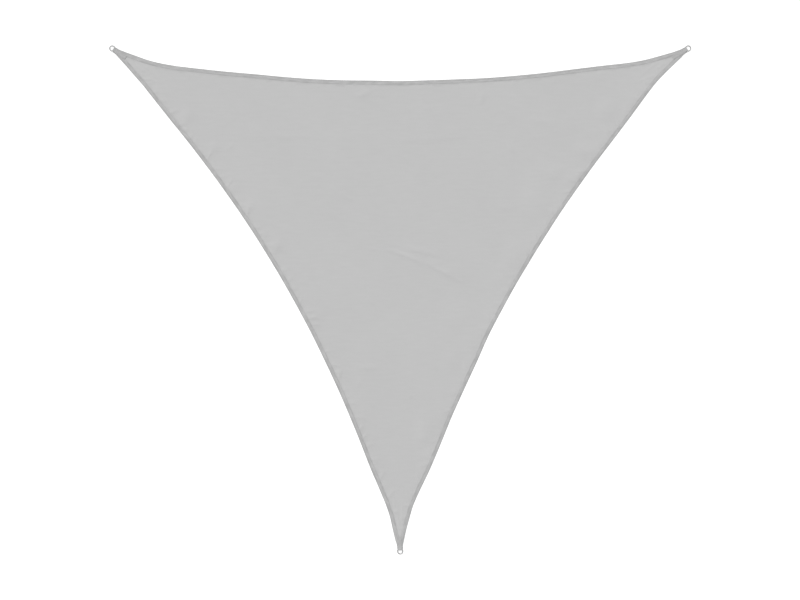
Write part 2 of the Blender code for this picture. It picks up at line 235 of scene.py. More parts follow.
def knittedShadeCloth():
    # Polyethylene shade cloth, knitted from flat tape on a warp machine: a matt, dry grey with fine
    # courses along X. The knit is drawn a little coarser than the real 2 mm, and even so it is finer
    # than the picture's pixels and only softens its colour.
    material, tree = emptyMaterial("knittedShadeCloth")
    place = addNode(tree, "ShaderNodeTexCoord").outputs["Object"]
    hemShare, inset, along = [
        addNode(tree, "ShaderNodeAttribute", {"attribute_name": name}).outputs["Fac"]
        for name in ("hemShare", "edgeInset", "alongEdge")
    ]
    courses, wales = [
        addNode(tree, "ShaderNodeTexWave", {
            "bands_direction": direction,
            "Scale": waveScale(clothFinish[pitch]),
            "Distortion": clothFinish["knitWaver"],
        }, {"Vector": place}).outputs["Fac"]
        for direction, pitch in (("Y", "coursePitch"), ("X", "walePitch"))
    ]
    knit = addNode(tree, "ShaderNodeMath", {"operation": "MULTIPLY"}, {0: courses, 1: wales})
    knitTone = addNode(tree, "ShaderNodeMapRange", {
        "To Min": 1.0 - clothFinish["knitShade"],
        "To Max": 1.0,
    }, {"Value": knit})
    streak = patches(tree, place, clothFinish["streakSize"], 1.0, clothFinish["streakDepth"], 3.0)
    cloud = patches(tree, place, clothFinish["cloudSize"], 1.0, clothFinish["cloudDepth"])

    # the hem's own marks follow its edge
    hemPlace = addNode(tree, "ShaderNodeCombineXYZ", {}, {"X": along, "Y": inset})
    moire = patches(tree, hemPlace, clothFinish["moireSize"], 1.0, clothFinish["moireDepth"])
    hemTone = addNode(tree, "ShaderNodeMix", {"data_type": "FLOAT", 2: 1.0}, {0: hemShare, 3: moire})
    # painted shade along the sewing grooves, together with the denser layers there
    rowTone = darkerAlongRows(tree, inset, hemShare)

    colour = addNode(tree, "ShaderNodeMix", {
        "data_type": "RGBA",
        6: linearColour(clothFinish["panelColour"]),
        7: linearColour(clothFinish["hemColour"]),
    }, {0: hemShare}).outputs[2]
    for tone in (streak, cloud, knitTone, hemTone, rowTone):
        colour = addNode(tree, "ShaderNodeVectorMath", {"operation": "SCALE"}, {
            "Vector": colour,
            "Scale": tone,
        })
    bump = addNode(tree, "ShaderNodeBump", {
        "Strength": 0.6,
        "Distance": clothFinish["knitRelief"],
    }, {"Height": knit})
    roughness, spread = clothFinish["roughness"], clothFinish["roughnessSpread"]
    return finished(material, {"IOR": 1.5, "Specular IOR Level": 0.3}, {
        "Base Color": colour,
        "Roughness": patches(tree, place, clothFinish["roughnessSize"], roughness, spread),
        "Normal": bump,
    })


webbingFinish = {
    "colour": "#B9B9B9",
    "ribPitch": 1.9 * mm,  # ribs of the weave, which slant across the strap
    "ribSlant": 35.0,
    "ribWaver": 0.3,
    "ribShade": 0.10,
    "ribRelief": 0.22 * mm,
    "wearSize": (14 * mm, 14 * mm, 14 * mm),
    "wearDepth": 0.05,
    "roughness": (0.5, 0.66),  # on the ribs' sides and on their backs
}


def wovenWebbing():
    # Polyester webbing from a narrow loom: slanting ribs between two smooth selvedges, a faint gloss
    material, tree = emptyMaterial("wovenPolyesterWebbing")
    flat = addNode(tree, "ShaderNodeUVMap", {"uv_map": "strapLength"})
    turned = addNode(tree, "ShaderNodeMapping", {
        "Rotation": (0.0, 0.0, math.radians(webbingFinish["ribSlant"])),
    }, {"Vector": flat})
    ribs = addNode(tree, "ShaderNodeTexWave", {
        "bands_direction": "X",
        "Scale": waveScale(webbingFinish["ribPitch"]),
        "Distortion": webbingFinish["ribWaver"],
    }, {"Vector": turned}).outputs["Fac"]
    ribTone = addNode(tree, "ShaderNodeMapRange", {
        "To Min": 1.0 - webbingFinish["ribShade"],
        "To Max": 1.0,
    }, {"Value": ribs})
    wear = patches(tree, flat, webbingFinish["wearSize"], 1.0, webbingFinish["wearDepth"])
    tone = addNode(tree, "ShaderNodeMath", {"operation": "MULTIPLY"}, {0: ribTone, 1: wear})
    base = addNode(tree, "ShaderNodeVectorMath", {
        "operation": "SCALE",
        0: linearColour(webbingFinish["colour"])[:3],
    }, {"Scale": tone})
    bump = addNode(tree, "ShaderNodeBump", {
        "Strength": 0.7,
        "Distance": webbingFinish["ribRelief"],
    }, {"Height": ribs})
    gloss = addNode(tree, "ShaderNodeMapRange", {
        "To Min": webbingFinish["roughness"][0],
        "To Max": webbingFinish["roughness"][1],
    }, {"Value": ribs})
    return finished(material, {"IOR": 1.55, "Specular IOR Level": 0.4}, {
        "Base Color": base,
        "Roughness": gloss,
        "Normal": bump,
    })


threadFinish = {
    "colour": "#AEAEAE",
    "twistPitch": 1.1 * mm,
    "twistWaver": 1.0,
    "twistShade": 0.12,
    "roughness": 0.48,
}


def bondedThread():
    # Bonded polyester sewing thread, twisted and waxed: a little darker and shinier than the cloth
    material, tree = emptyMaterial("bondedPolyesterThread")
    place = addNode(tree, "ShaderNodeTexCoord").outputs["Object"]
    twist = addNode(tree, "ShaderNodeTexWave", {
        "bands_direction": "DIAGONAL",
        "Scale": waveScale(threadFinish["twistPitch"]),
        "Distortion": threadFinish["twistWaver"],
    }, {"Vector": place}).outputs["Fac"]
    tone = addNode(tree, "ShaderNodeMapRange", {
        "To Min": 1.0 - threadFinish["twistShade"],
        "To Max": 1.0,
    }, {"Value": twist})
    base = addNode(tree, "ShaderNodeVectorMath", {
        "operation": "SCALE",
        0: linearColour(threadFinish["colour"])[:3],
    }, {"Scale": tone})
    return finished(material, {"Roughness": threadFinish["roughness"], "IOR": 1.55}, {
        "Base Color": base,
    })


steelFinish = {
    "colour": "#ACACAC",
    "markSize": (9 * mm, 1.2 * mm, 1.2 * mm),  # tumbled after welding, which leaves short dull marks
    "roughness": 0.33,
    "roughnessSpread": 0.09,
    "skinSize": (8 * mm, 8 * mm, 8 * mm),
    "skinDepth": 0.08,
}


def tumbledStainlessSteel():
    # Stainless wire, welded and tumbled: satin, with dull marks and a slightly darker skin in places
    material, tree = emptyMaterial("tumbledStainlessSteel")
    place = addNode(tree, "ShaderNodeTexCoord").outputs["Object"]
    base = addNode(tree, "ShaderNodeVectorMath", {
        "operation": "SCALE",
        0: linearColour(steelFinish["colour"])[:3],
    }, {"Scale": patches(tree, place, steelFinish["skinSize"], 1.0, steelFinish["skinDepth"])})
    roughness, spread = steelFinish["roughness"], steelFinish["roughnessSpread"]
    return finished(material, {"Metallic": 1.0}, {
        "Base Color": base,
        "Roughness": patches(tree, place, steelFinish["markSize"], roughness, spread, 4.0),
    })


def geometryTree(name, inputs):
    # a Geometry Nodes tree with named inputs after its geometry
    tree = bpy.data.node_groups.new(name, "GeometryNodeTree")
    tree.interface.new_socket("Geometry", in_out="INPUT", socket_type="NodeSocketGeometry")
    for label, kind in inputs.items():
        tree.interface.new_socket(label, in_out="INPUT", socket_type="NodeSocket" + kind)
    tree.interface.new_socket("Geometry", in_out="OUTPUT", socket_type="NodeSocketGeometry")
    return tree, addNode(tree, "NodeGroupInput").outputs


def closeTree(tree, mesh, material):
    real = addNode(tree, "GeometryNodeRealizeInstances", {}, {"Geometry": mesh})
    smooth = addNode(tree, "GeometryNodeSetShadeSmooth", {}, {"Geometry": real})
    painted = addNode(tree, "GeometryNodeSetMaterial", {}, {"Geometry": smooth, "Material": material})
    addNode(tree, "NodeGroupOutput", {}, {"Geometry": painted})


def stitchTree():
    # beads of thread laid end to end along a line, each a little askew
    tree, given = geometryTree("sewnStitches", {
        "pitch": "Float",
        "stitchLength": "Float",
        "threadRadius": "Float",
        "lean": "Float",
        "seed": "Int",
        "thread": "Material",
    })
    seam = addNode(tree, "GeometryNodeMeshToCurve", {}, {"Mesh": given["Geometry"]})
    holes = addNode(tree, "GeometryNodeCurveToPoints", {"mode": "LENGTH"}, {
        "Curve": seam,
        "Length": given["pitch"],
    })
    bead = addNode(tree, "GeometryNodeMeshUVSphere", {"Segments": 5, "Rings": 4, "Radius": 1.0})
    halfLength = addNode(tree, "ShaderNodeMath", {"operation": "MULTIPLY", 1: 0.5}, {
        0: given["stitchLength"],
    })
    size = addNode(tree, "ShaderNodeCombineXYZ", {}, {
        "X": given["threadRadius"],
        "Y": given["threadRadius"],
        "Z": halfLength,
    })
    stitch = addNode(tree, "GeometryNodeTransform", {}, {"Geometry": bead, "Scale": size})
    laid = addNode(tree, "GeometryNodeInstanceOnPoints", {}, {
        "Points": holes,
        "Instance": stitch,
        "Rotation": holes.outputs["Rotation"],
    })
    against = addNode(tree, "ShaderNodeMath", {"operation": "MULTIPLY", 1: -1.0}, {0: given["lean"]})
    least = addNode(tree, "ShaderNodeCombineXYZ", {}, {"X": against, "Y": against})
    most = addNode(tree, "ShaderNodeCombineXYZ", {}, {"X": given["lean"], "Y": given["lean"]})
    chance = addNode(tree, "FunctionNodeRandomValue", {"data_type": "FLOAT_VECTOR"}, {
        "Min": least,
        "Max": most,
        "Seed": given["seed"],
    })
    leaned = addNode(tree, "GeometryNodeRotateInstances", {}, {"Instances": laid, "Rotation": chance})
    closeTree(tree, leaned, given["thread"])
    return tree


def wireTree():
    # round wire along a closed line
    tree, given = geometryTree("bentWire", {"wireRadius": "Float", "sides": "Int", "steel": "Material"})
    path = addNode(tree, "GeometryNodeMeshToCurve", {}, {"Mesh": given["Geometry"]})
    section = addNode(tree, "GeometryNodeCurvePrimitiveCircle", {"mode": "RADIUS"}, {
        "Radius": given["wireRadius"],
        "Resolution": given["sides"],
    })
    wire = addNode(tree, "GeometryNodeCurveToMesh", {}, {"Curve": path, "Profile Curve": section})
    closeTree(tree, wire, given["steel"])
    return tree


def pieceFrom(name, paths, closed, tree, values):
    # lines of points run through a tree, and kept as a plain mesh; the values that are named as
    # the tree's inputs go to them
    verts = []
    edges = []
    for path in paths:
        first = len(verts)
        verts += [tuple(p) for p in path]
        edges += [(k, k + 1) for k in range(first, len(verts) - 1)]
        if closed:
            edges.append((len(verts) - 1, first))
    lines = bpy.data.meshes.new(name + "Lines")
    lines.from_pydata(verts, edges, [])
    piece = inScene(name, lines)
    modifier = piece.modifiers.new("made", "NODES")
    modifier.node_group = tree
    for socket in tree.interface.items_tree:
        if socket.in_out == "INPUT" and socket.name in values:
            modifier[socket.identifier] = values[socket.name]
    evaluated = piece.evaluated_get(bpy.context.evaluated_depsgraph_get())
    mesh = bpy.data.meshes.new_from_object(evaluated)
    piece.modifiers.remove(modifier)
    piece.data = mesh
    mesh.name = name
    bpy.data.meshes.remove(lines)
    print(name + ":", len(mesh.polygons), "faces")
    return piece


def sewn(name, paths, sewing, tree, thread):
    # stitches along the paths, as one of the sewing dictionaries says
    piece = pieceFrom(name, paths, False, tree, {**sewing, "thread": thread})
    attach(piece, "root")
    return piece


ringSizes = {
    "wireRadius": 3 * mm,
    "innerWidth": 25 * mm,
    "leg": 12.5 * mm,  # from the middle of the bar to the centre of the bow
    "corner": 4 * mm,
    "sides": 20,
    "bendSteps": 8,
    "bowSteps": 56,
}


def centroidOf(node):
    # middle of a node's surface, seen from above
    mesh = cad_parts[node].data
    mesh.calc_loop_triangles()
    places = np.array([v.co for v in mesh.vertices])
    triangles = places[np.array([t.vertices for t in mesh.loop_triangles])]
    areas = np.array([t.area for t in mesh.loop_triangles])
    return Vector((triangles.mean(axis=1) * areas[:, None]).sum(axis=0)[:2] / areas.sum())


def cornerOf(name):
    # X points out past the ring, from the middle of its bar on the ground; and the strap's length
    ring = centroidOf("ring_" + name)
    outward = (ring - centroidOf("strap_" + name)).normalized()
    ringReach = [Vector(v.co[:2]).dot(outward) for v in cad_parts["ring_" + name].data.vertices]
    strapReach = [Vector(v.co[:2]).dot(outward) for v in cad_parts["strap_" + name].data.vertices]
    bar = min(ringReach) + ringSizes["wireRadius"]
    middle = ring + outward * (bar - ring.dot(outward))
    turn = math.atan2(outward.y, outward.x)
    matrix = Matrix.Translation((middle.x, middle.y, 0.0)) @ Matrix.Rotation(turn, 4, "Z")
    return {"matrix": matrix, "tail": bar - min(strapReach)}


corners = {name: cornerOf(name) for name in cornerNames}


def barHeight(name):
    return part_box("ring_" + name)[1].z - ringSizes["wireRadius"]


def makeRing(name, tree, steel):
    # wire bent to a D: its bar lies in the strap's loop and its bow rests on the ground
    half = ringSizes["innerWidth"] / 2 + ringSizes["wireRadius"]
    bend = ringSizes["corner"]
    path = []
    for side in (1, -1):
        run = []
        for k in range(ringSizes["bendSteps"] + 1):
            angle = math.pi / 2 * k / ringSizes["bendSteps"]
            run.append((bend * (1 - math.cos(angle)), side * (half - bend * (1 - math.sin(angle)))))
        for k in range(ringSizes["bowSteps"] // 2 + 1):
            angle = math.pi * k / ringSizes["bowSteps"]
            run.append((ringSizes["leg"] + half * math.sin(angle), side * half * math.cos(angle)))
        path += run if side == 1 else run[-2::-1]
    nose = ringSizes["leg"] + half
    dip = math.asin((barHeight(name) - ringSizes["wireRadius"]) / nose)
    tilt = Matrix.Translation((0.0, 0.0, barHeight(name))) @ Matrix.Rotation(dip, 4, "Y")
    placed = [corners[name]["matrix"] @ tilt @ Vector((x, y, 0.0)) for x, y in path]
    ring = pieceFrom("ring" + name.capitalize(), [placed], True, tree, {**ringSizes, "steel": steel})
    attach(ring, "root")
    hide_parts("ring_" + name)


strapSizes = {
    "width": 25 * mm,
    "loopWidth": 21 * mm,  # drawn together between the ring's legs
    "narrowFrom": 16 * mm,
    "thickness": 1.4 * mm,
    "loopRadius": 4.0 * mm,  # middle of the webbing round the bar
    "loopSteps": 18,
    "settleStart": 1.2 * mm,  # the upper tail comes down on to the cloth in an S
    "settleLength": 17.5 * mm,
    "settleStep": 1.5 * mm,
    "settleSteps": 11,
    "tailStep": 5 * mm,
    "leastStep": 1 * mm,
    "endTaper": 2.5 * mm,  # the ends are cut hot and pressed thinner
    "endShare": 0.3,
    "endZone": 1 * mm,  # how near to the solid's end its height is read
    "edgeRadius": 0.55 * mm,
    "edgeSteps": 4,
    "acrossShares": (0.66, 0.33, 0.0, -0.33, -0.66),  # points across each flat face
    "waver": 0.35 * mm,  # how uneven the selvedges run
    "waverLength": 12 * mm,
    "sharpEdge": 60.0,  # degrees
}

strapSewing = {
    "firstRow": 24 * mm,  # from the bar
    "lastRow": 7 * mm,  # from the strap's end
    "boxWidth": 17 * mm,
    "rowSteps": 12,
    "sunk": 0.34 * mm,  # the under thread is pulled into the webbing, which lies on the ground
    "pitch": 3.6 * mm,
    "stitchLength": 3.0 * mm,
    "threadRadius": 0.42 * mm,
    "lean": 0.06,
    "seed": 5,
}


def eased(share):
    share = np.clip(share, 0.0, 1.0)
    return share * share * (3 - 2 * share)


def lengthsAlong(path):
    return np.concatenate([[0.0], np.cumsum(np.linalg.norm(np.diff(path, axis=0), axis=1))])


def strapLevel(name):
    # the upper tail's middle where it lies on the cloth, read from the solid's far end
    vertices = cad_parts["strap_" + name].data.vertices
    back = corners[name]["matrix"].inverted()
    limit = strapSizes["endZone"] - corners[name]["tail"]
    return max(v.co.z for v in vertices if (back @ v.co).x < limit) - strapSizes["thickness"] / 2


def strapHeight(back, name):
    # the middle of the upper tail, at a distance behind the bar
    level = strapLevel(name)
    drop = barHeight(name) + strapSizes["loopRadius"] - level
    return level + drop * (1 - eased((back + strapSizes["settleStart"]) / strapSizes["settleLength"]))


def strapPath(name):
    # along the lower tail to the ring, round its bar and back along the upper tail, with the
    # distance from the webbing's middle to its faces at each point
    tail = corners[name]["tail"]
    thick = strapSizes["thickness"] / 2
    thin = thick * strapSizes["endShare"]
    straight = tail - strapSizes["endTaper"]
    count = round(straight / strapSizes["tailStep"])
    backs = [straight * (1 - k / count) for k in range(count)]
    path = [(-tail, thin, thin)] + [(-back, thick, thick) for back in backs]
    radius = strapSizes["loopRadius"]
    for k in range(strapSizes["loopSteps"] + 1):
        angle = math.pi * (k / strapSizes["loopSteps"] - 0.5)
        path.append((radius * math.cos(angle), barHeight(name) + radius * math.sin(angle), thick))
    settling = [k * strapSizes["settleStep"] for k in range(1, strapSizes["settleSteps"] + 1)]
    upper = settling + [back for back in backs[::-1] if back > settling[-1] + strapSizes["leastStep"]]
    path += [(-back, strapHeight(back, name), thick) for back in upper]
    path.append((-tail, strapHeight(tail, name) - thick + thin, thin))
    return path


def strapSection(half, thick):
    # a closed section: flat faces with rounded selvedges, from the lower left round to the start
    radius = strapSizes["edgeRadius"]
    steps = strapSizes["edgeSteps"]
    section = []
    for side in (-1, 1):
        for turn in range(steps + 1):
            angle = math.pi * (turn / steps - 0.5) * side
            section.append((side * (half - radius + radius * math.cos(angle)), thick * math.sin(angle)))
        section += [(side * share * (half - radius), side * thick) for share in strapSizes["acrossShares"]]
    return section


def makeStrap(name, webbing):
    stations = np.array(strapPath(name))
    path, thickness = stations[:, :2], stations[:, 2]
    length = lengthsAlong(path)
    tangent = np.gradient(path, axis=0)
    tangent /= np.linalg.norm(tangent, axis=1)[:, None]
    matrix = corners[name]["matrix"]
    rows = []
    for k, ((x, z), (tx, tz), thick) in enumerate(zip(path, tangent, thickness)):
        back = max(0.0, -x)
        wide = eased(back / strapSizes["narrowFrom"])
        half = (strapSizes["loopWidth"] + (strapSizes["width"] - strapSizes["loopWidth"]) * wide) / 2
        if back > strapSizes["narrowFrom"]:
            spot = Vector((length[k] / strapSizes["waverLength"], len(name), 0.5))  # no two names as long
            half += strapSizes["waver"] * noise.noise(spot)
        rows.append([
            matrix @ Vector((x - up * tz, across, z + up * tx)) for across, up in strapSection(half, thick)
        ])
    count = len(rows[0])
    faces = []
    for k in range(len(rows) - 1):
        for j in range(count):
            a, b = k * count + j, k * count + (j + 1) % count
            faces.append((a, b, b + count, a + count))
    faces.append(tuple(range(count))[::-1])
    faces.append(tuple(range((len(rows) - 1) * count, len(rows) * count)))
    mesh = bpy.data.meshes.new("strap" + name.capitalize())
    mesh.from_pydata([tuple(v) for row in rows for v in row], [], faces)
    uv = mesh.uv_layers.new(name="strapLength")
    flatten = matrix.inverted()
    for loop in mesh.loops:
        across = (flatten @ mesh.vertices[loop.vertex_index].co).y
        uv.data[loop.index].uv = (length[loop.vertex_index // count], across)
    mesh.shade_smooth()
    mesh.set_sharp_from_angle(angle=math.radians(strapSizes["sharpEdge"]))
    mesh.materials.append(webbing)
    strap = inScene(mesh.name, mesh)
    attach(strap, "root")
    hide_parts("strap_" + name)
    print(mesh.name + ":", len(faces), "faces")
    return strap


def makeStrapSewing(name, tree, thread):
    # a long box with a cross in it, through both tails and the cloth between them
    matrix = corners[name]["matrix"]
    near = strapSewing["firstRow"]
    far = corners[name]["tail"] - strapSewing["lastRow"]
    half = strapSewing["boxWidth"] / 2
    box = [(near, -half), (near, half), (far, half), (far, -half)]
    lines = [(box[k], box[(k + 1) % 4]) for k in range(4)] + [(box[0], box[2]), (box[1], box[3])]
    rise = strapSizes["thickness"] / 2
    paths = []
    for start, end in lines:
        for upper in (True, False):
            path = []
            for k in range(strapSewing["rowSteps"] + 1):
                share = k / strapSewing["rowSteps"]
                back = start[0] + (end[0] - start[0]) * share
                across = start[1] + (end[1] - start[1]) * share
                height = strapHeight(back, name) + rise if upper else strapSewing["sunk"]
                path.append(matrix @ Vector((-back, across, height)))
            paths.append(path)
    return sewn("strapSewing" + name.capitalize(), paths, strapSewing, tree, thread)


sailCut = {
    "flatWidth": 3.6,
    "flatLength": 3.15,
    "flatArea": 4.2,
    "hemWidth": 25 * mm,
    "edgeSteps": 450,  # stations along each long edge
    "evenShare": 0.3,  # the rest of the spacing widens towards the middle of an edge
    "endSpacing": 4 * mm,  # along the blunt end of each tip
    "manyPoints": 50,  # a curved edge has more points than this, and a tip's end has fewer
    "sharpTurn": 25.0,  # degrees; more than this is a corner of the cut
    "panelSpacing": 16 * mm,
    "panelGap": 0.6,  # share of that spacing which the panel's points keep from the others
    "creaseSpacing": 9 * mm,  # points along a crease
    "creaseLeast": 5,  # rows of points along the shortest one
    "creaseGap": 4.5 * mm,  # between a crease's point and the ones before it
    "creaseBefore": 60,  # how many of those are looked at
    "hemGap": 5 * mm,  # between a crease's points and the hem
    "onEdge": 0.01 * mm,  # a point nearer than this to the outline is on it
    "mergeGap": 1e-7,
    "readFrom": 2 * mm,  # height from which the nearest place of the solid's underside is found
    "smoothing": 12,  # passes that round off the facets of the solid's folds
    "smoothingShare": 0.6,
    "strapClearance": 15 * mm,  # no smoothing and no creases this near to a strap
    "strapFade": 40 * mm,
    "hemColourStart": 26.6 * mm,  # the hem's colour fades out over this short step
    "hemColourFade": 1.2 * mm,
}

# the hem's cross section: distance from the fold at the edge, underside and top above the cloth's
# base, in mm
hemSection = [
    (0.0, 1.25, 1.25),
    (0.4, 0.60, 1.95),
    (1.2, 0.20, 2.38),
    (2.6, 0.02, 2.52),
    (4.0, 0.38, 2.12),
    (5.4, 0.02, 2.52),
    (9.0, 0.0, 2.60),
    (14.0, 0.0, 2.60),
    (18.6, 0.0, 2.55),
    (20.6, 0.02, 2.48),
    (22.0, 0.38, 2.08),
    (23.4, 0.02, 2.42),
    (24.6, 0.0, 2.20),
    (25.3, 0.0, 1.50),
    (26.2, 0.0, 1.20),
]

# sharper creases than the solid holds, each a bent ridge that is steeper on one side
# columns: x, y, heading in degrees, length, width to the left, width to the right, bow, height, in mm
creases = [
    (135, 291, -13.5, 340, 40, 14, 6, 3.2),
    (24, 279, -21, 300, 18, 20, 0, 4.0),
    (271, 167, -27, 380, 18, 22, 5, 4.2),
    (208, 220, -26, 90, 32, 14, 0, 2.0),
    (300, 172, -27, 70, 17, 12, 0, 1.8),
    (-170, 312, -18, 60, 20, 14, 0, 1.3),
    (-405, 515, -32, 130, 22, 16, 6, 1.4),
    (-335, 645, -38, 110, 20, 14, 0, 1.6),
    (-360, 212, -30, 70, 18, 14, 0, 1.0),
    (-186, -10, -20, 110, 22, 18, 0, 1.0),
    (-205, -420, 4, 150, 24, 16, -6, 2.0),
    (-250, -512, 62, 90, 26, 22, 0, 1.6),
    (70, -606, -12, 80, 20, 16, 0, 1.4),
    (152, -845, 0, 140, 220, 80, 0, 4.8),
    (-185, -925, 80, 80, 22, 18, 0, 1.2),
    (672, 932, -68, 180, 38, 30, 14, 2.6),
    (880, 1104, -12, 190, 34, 26, 12, 2.2),
    (842, 1022, -34, 120, 22, 18, 0, 1.4),
    (1290, 1165, -18, 180, 130, 85, 0, 5.0),
    (1170, 927, -6, 190, 75, 60, 0, 5.6),
    (965, 790, 62, 120, 160, 50, 0, 4.4),
    (1112, 772, 56, 110, 45, 25, 0, 3.4),
    (655, 568, -14, 150, 34, 30, 8, 2.6),
    (852, 627, -10, 220, 280, 150, 0, 4.8),
    (735, 275, -10, 250, 140, 150, 0, 6.0),
    (377, -116, 0, 300, 130, 105, 0, 3.0),
    (315, -379, 0, 150, 110, 90, 0, 2.6),
    (-520, -95, 20, 150, 70, 60, 0, 2.4),
    (-230, 1285, 15, 120, 26, 20, 0, 2.9),
    (510, 1255, 76, 110, 30, 22, 0, 2.5),
    (172, 1195, -18, 80, 20, 16, 0, 1.7),
    (-1065, 955, 30, 60, 18, 18, 0, 1.9),
    (-830, 1130, -42, 100, 22, 16, 0, 1.3),
    (-715, 1065, -52, 110, 22, 16, 0, 1.3),
    (-1335, 1150, 36, 150, 60, 60, 0, 3.4),
    (-1166, 946, 38, 130, 55, 50, 0, 3.0),
    (-1054, 684, 40, 120, 55, 40, 0, 2.4),
    (-954, 577, 36, 140, 60, 45, 0, 3.6),
    (-773, 330, 40, 130, 60, 38, 0, 4.2),
    (-700, 1012, 0, 620, 26, 20, 10, 1.3),
    (140, 1010, 1, 560, 26, 20, -8, 1.3),
]
creaseShares = (-1.0, -0.45, 0.0, 0.45, 1.0)  # of its widths, where points lie across a crease
crestRound = 0.15  # a crest is rounded over this share of its width

# the pull of each ring draws the cloth into long shallow folds behind it
# columns: corner, distance from the bar, distance across, turn in degrees, length, width, height, in mm
tensionFolds = [
    ("bottom", 190, -6, 3, 230, 9, 1.1),
    ("bottom", 240, 18, -5, 220, 10, 0.9),
    ("bottom", 280, -26, 7, 230, 11, 0.9),
    ("left", 185, 4, 4, 200, 9, 1.1),
    ("left", 260, -20, -6, 230, 11, 1.0),
    ("left", 290, 22, 9, 240, 12, 0.9),
    ("right", 200, -3, -3, 210, 9, 1.1),
    ("right", 270, 18, 6, 230, 11, 1.0),
    ("right", 300, -24, -8, 250, 12, 0.9),
]

# tight sewing draws the cloth beside the hem into short slanting gathers, more on the two long sides
# pairs are least and most, in mm and degrees
gathers = {
    "spacing": {"left": (30, 100), "right": (30, 100), "top": (80, 240)},
    "height": {"left": (1.1, 2.8), "right": (1.0, 2.5), "top": (0.4, 1.0)},
    "slant": (35, 75),  # between a gather and the hem
    "length": (50, 110),
    "width": (12, 22),
    "steepSide": 0.8,  # share of that width on the steeper side
    "start": 24,  # distance from the edge, just under the hem's own inner fold
    "reach": 0.55,  # share of its half length from there to its middle
    "fromTip": 150,
    "seed": 4,
}

# the panel lies in slow waves, with a faint ripple beside the hem
unevenness = {
    "ripplePitches": (37 * mm, 61 * mm, 103 * mm),
    "rippleHeight": 0.9 * mm,
    "rippleSlant": 0.8,
    "ripplePhase": 1.3,  # radians between one pitch's waves and the next
    "rippleDrift": 2.0,  # radians that a wave comes early or late
    "rippleDriftLength": 9.0,  # a full drift takes 2 pi times so many pitches
    "ripplePeak": 32 * mm,  # distance from the edge where the ripple stands highest
    "rippleReach": 85 * mm,
    "waveLength": 300 * mm,
    "waveHeight": 1.3 * mm,
    "waveSlice": 7.3,  # where the noise is cut
    "waveStart": 60 * mm,  # the waves reach their full height this far from the edge
}


def curveThrough(knots, values, at):
    # a smooth curve through points that are unevenly spaced
    gaps = np.diff(knots)
    rises = np.diff(values) / gaps
    middle = (rises[:-1] * gaps[1:] + rises[1:] * gaps[:-1]) / (gaps[:-1] + gaps[1:])
    slopes = np.concatenate([rises[:1], middle, rises[-1:]])
    k = np.clip(np.searchsorted(knots, at) - 1, 0, len(gaps) - 1)
    s = (at - knots[k]) / gaps[k]
    return (
        values[k] * (1 + 2 * s) * (1 - s) ** 2
        + values[k + 1] * s**2 * (3 - 2 * s)
        + gaps[k] * (slopes[k] * s * (1 - s) ** 2 + slopes[k + 1] * s**2 * (s - 1))
    )


def undersideOf(node):
    # the node's points, the faces of its underside, and the loop of points round them
    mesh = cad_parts[node].data
    keys = {}
    places = []
    index = []
    for vertex in mesh.vertices:
        key = tuple(round(c * 1e6) for c in vertex.co)  # the same to a micron is the same point
        if key not in keys:
            keys[key] = len(places)
            places.append(vertex.co.copy())
        index.append(keys[key])
    faces = [[index[v] for v in p.vertices] for p in mesh.polygons if p.normal.z < -0.5]
    following = {}
    edges = {(f[k], f[(k + 1) % len(f)]) for f in faces for k in range(len(f))}
    for first, second in edges:
        if (second, first) not in edges:
            following[second] = first  # reversed, so that it runs anticlockwise from above
    start = min(following)
    loop = [start]
    while following[loop[-1]] != start:
        loop.append(following[loop[-1]])
    return places, faces, loop


def runsBetweenCorners(loop):
    # the outline cut at its sharp corners, each run with both of its ends
    back = loop - np.roll(loop, 1, axis=0)
    ahead = np.roll(loop, -1, axis=0) - loop
    turn = np.arctan2(back[:, 0] * ahead[:, 1] - back[:, 1] * ahead[:, 0], (back * ahead).sum(axis=1))
    sharp = np.flatnonzero(np.abs(np.degrees(turn)) > sailCut["sharpTurn"])
    runs = []
    for k, first in enumerate(sharp):
        count = (sharp[(k + 1) % len(sharp)] - first) % len(loop)
        runs.append(loop[(first + np.arange(count + 1)) % len(loop)])
    return runs


def respaced(run):
    # the run's points again, finer at its ends, with the inward normal at each
    knots = lengthsAlong(run)
    if len(run) > sailCut["manyPoints"]:
        share = np.arange(sailCut["edgeSteps"] + 1) / sailCut["edgeSteps"]
        even = sailCut["evenShare"]
        at = knots[-1] * (even * share + (1 - even) * (1 - np.cos(math.pi * share)) / 2)
        points = np.stack([curveThrough(knots, run[:, axis], at) for axis in (0, 1)], axis=1)
    else:
        at = np.linspace(0.0, knots[-1], round(knots[-1] / sailCut["endSpacing"]) + 1)
        points = np.stack([np.interp(at, knots, run[:, axis]) for axis in (0, 1)], axis=1)
    tangent = np.gradient(points, at, axis=0)
    tangent /= np.linalg.norm(tangent, axis=1)[:, None]
    return points, np.stack([-tangent[:, 1], tangent[:, 0]], axis=1)


def fromEdge(points, outline, batch=1000):
    # each point's distance from the outline, and how far along it the nearest place lies
    ahead = np.roll(outline, -1, axis=0) - outline
    lengths = np.linalg.norm(ahead, axis=1)
    starts = np.concatenate([[0.0], np.cumsum(lengths)[:-1]])
    distance = np.empty(len(points))
    along = np.empty(len(points))
    for low in range(0, len(points), batch):
        away = points[low:low + batch, None, :] - outline[None, :, :]
        share = np.clip((away * ahead).sum(axis=2) / lengths**2, 0.0, 1.0)
        gap = np.linalg.norm(away - share[:, :, None] * ahead, axis=2)
        nearest = gap.argmin(axis=1)
        row = np.arange(len(nearest))
        distance[low:low + batch] = gap[row, nearest]
        along[low:low + batch] = starts[nearest] + share[row, nearest] * lengths[nearest]
    return distance, along


